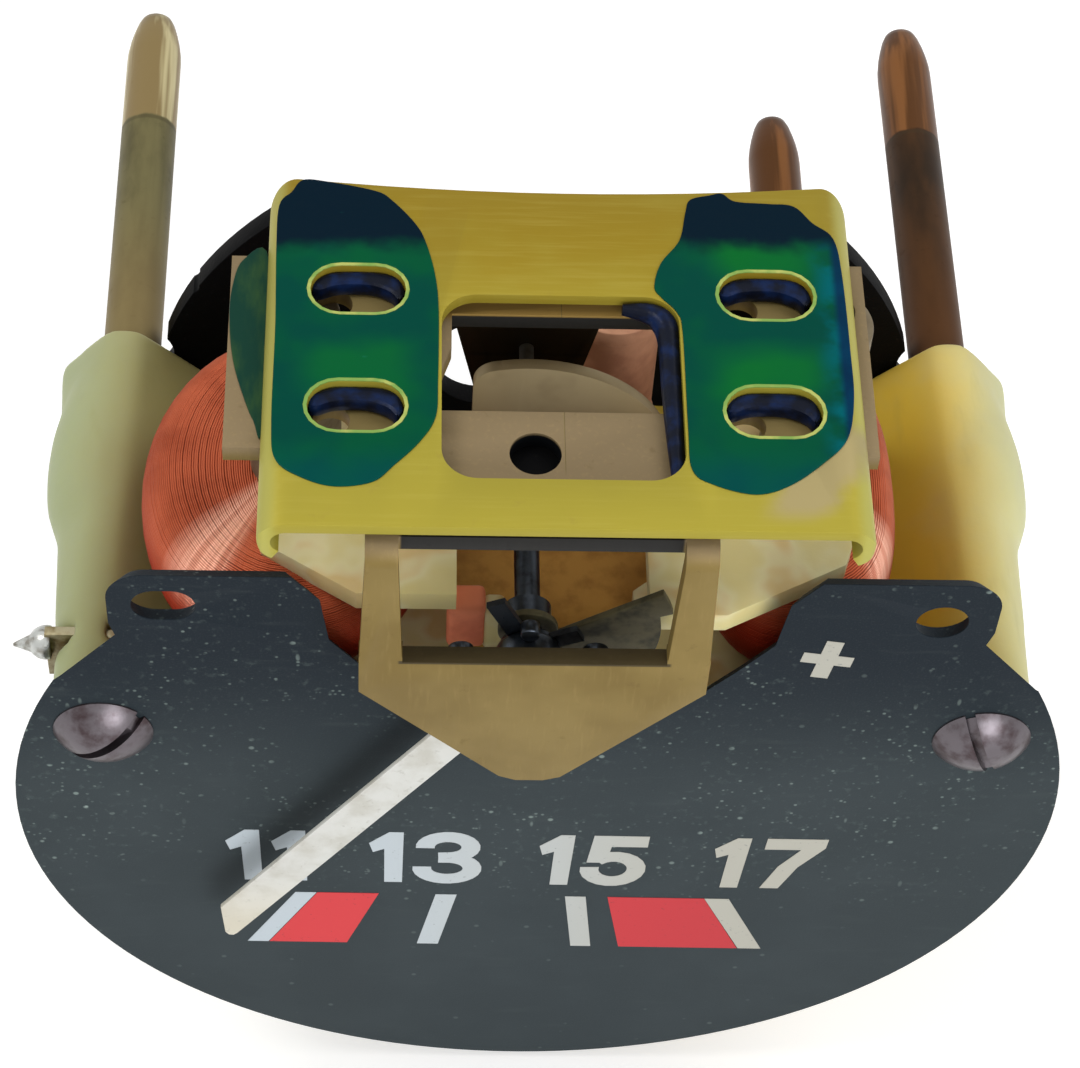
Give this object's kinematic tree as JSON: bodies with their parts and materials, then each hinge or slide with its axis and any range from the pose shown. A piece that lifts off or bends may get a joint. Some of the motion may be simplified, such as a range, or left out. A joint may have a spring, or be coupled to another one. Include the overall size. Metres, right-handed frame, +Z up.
{
  "type": "car voltmeter movement",
  "caption": "Moving-iron voltmeter out of its can: dial with pointer, two coils on a bent bracket, slotted calibration plate, and plug pins at the back.",
  "frame": {"origin": "centre of the dial's round edge, on the dial's front face", "axes": "+X to the right of the dial, +Y to the back along the plug pins, +Z up towards the calibration plate"},
  "size_m": [0.052, 0.0516, 0.0539],
  "materials": {
    "dial": "matte dark grey paint on sheet metal",
    "screws": "dulled burnished steel",
    "nylon": "aged translucent nylon",
    "former_nylon": "aged cream nylon",
    "pin_nickel": "tarnished plated brass",
    "pin_brass": "dark tarnished brass",
    "tag": "tinned brass",
    "solder": "bright solder",
    "bracket": "yellow-brown chromated steel sheet",
    "calibration": "yellow chromated steel sheet",
    "copper": "enamelled copper wire, wound",
    "iron": "soft iron, dulled",
    "steel": "plain steel",
    "spindle_steel": "dark hardened steel",
    "pointer": "cream-white paint",
    "brass": "turned brass",
    "sheet": "thin sheet, dull",
    "spring": "blued spring wire",
    "black": "matte black moulding",
    "resistor": "salmon-coloured ceramic body"
  },
  "bodies": {
    "movement_frame": {"dial_plate": "dial", "dial_screws": "screws", "frame_moulding": "nylon", "terminal_pin_left": "pin_nickel", "terminal_pin_right": "pin_brass", "terminal_pin_lower": "pin_brass", "solder_tag": "tag", "solder_joint": "solder", "bearing_bracket": "bracket", "calibration_plate": "calibration", "coil_former_left": "former_nylon", "coil_former_right": "former_nylon", "winding_left": "copper", "winding_right": "copper", "winding_left_turns": "copper", "winding_right_turns": "copper", "iron_core_left": "iron", "iron_core_right": "iron", "lower_yoke": "bracket", "yoke_screws": "steel", "pointer_stops": "brass", "hairspring": "spring", "hairspring_stud": "steel", "front_bearing": "brass", "rear_bearing_screw": "brass", "rear_bearing_nut": "steel", "rear_plate": "black", "rear_plate_screws": "steel", "series_resistor": "resistor", "resistor_leads": "solder"},
    "pointer_movement": {"spindle": "spindle_steel", "pointer": "pointer", "pointer_hub": "brass", "balance_arms": "sheet", "balance_weights": "solder", "damping_vane": "sheet", "vane_bush": "brass", "iron_vane": "iron", "hairspring_collet": "brass"}
  },
  "joints": [
    {"name": "pointer_swing", "type": "hinge", "parent": "movement_frame", "child": "pointer_movement", "pos_m": [-0.0012, 0, 0.0158], "axis": [0, -1, 0], "range_deg": [0, 60], "stiffness_Nm_per_rad": 0.00002, "deforming": ["hairspring"]}
  ]
}
